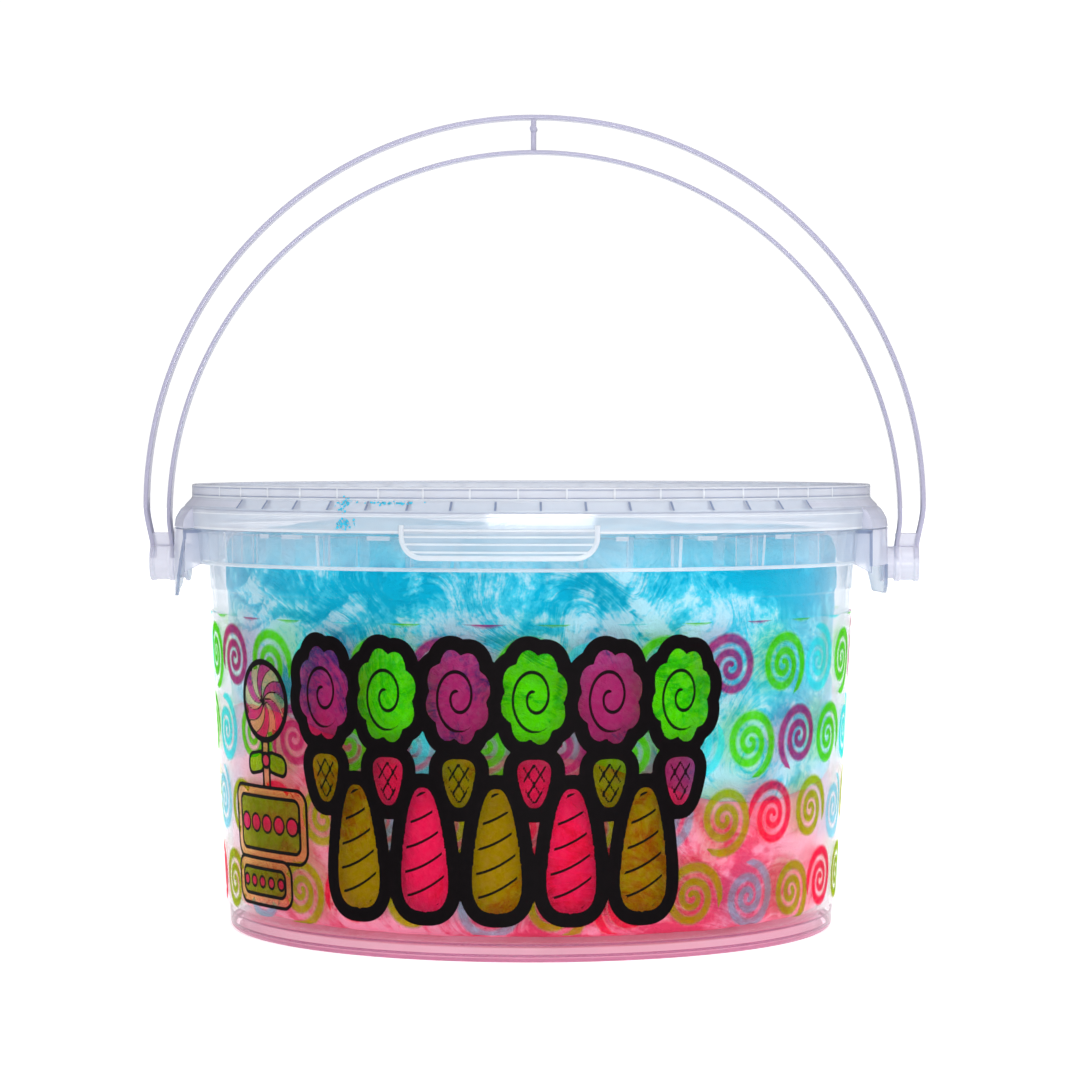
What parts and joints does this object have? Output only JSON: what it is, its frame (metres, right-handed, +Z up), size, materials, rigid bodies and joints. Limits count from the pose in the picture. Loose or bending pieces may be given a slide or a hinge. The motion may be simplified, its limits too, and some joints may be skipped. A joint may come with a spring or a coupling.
{
  "type": "tub of cotton candy",
  "caption": "Clear round snap-lid tub filled with pulled-sugar floss in a blue layer on a pink one, with a printed film and a swinging carrying handle.",
  "frame": {"origin": "centre of the tub's foot, on the surface it stands on", "axes": "+Z up; the pull tab of the lid faces -Y; the handle swings about the line along X through the two ears"},
  "size_m": [0.1954, 0.1733, 0.2014],
  "materials": {
    "tub_plastic": "gloss",
    "lid_plastic": "gloss",
    "handle_plastic": "satin",
    "candy_blue": "matte",
    "candy_pink": "matte",
    "label_film": "gloss"
  },
  "bodies": {
    "tub_body": {"tub": "tub_plastic", "lid": "lid_plastic", "candy_blue": "candy_blue", "candy_pink": "candy_pink", "label": "label_film"},
    "handle_body": {"handle": "handle_plastic"}
  },
  "joints": [
    {"name": "handle_swing", "type": "hinge", "parent": "tub_body", "child": "handle_body", "pos_m": [0, 0, 0.09], "axis": [1, 0, 0], "range_deg": [-125, 125]}
  ]
}
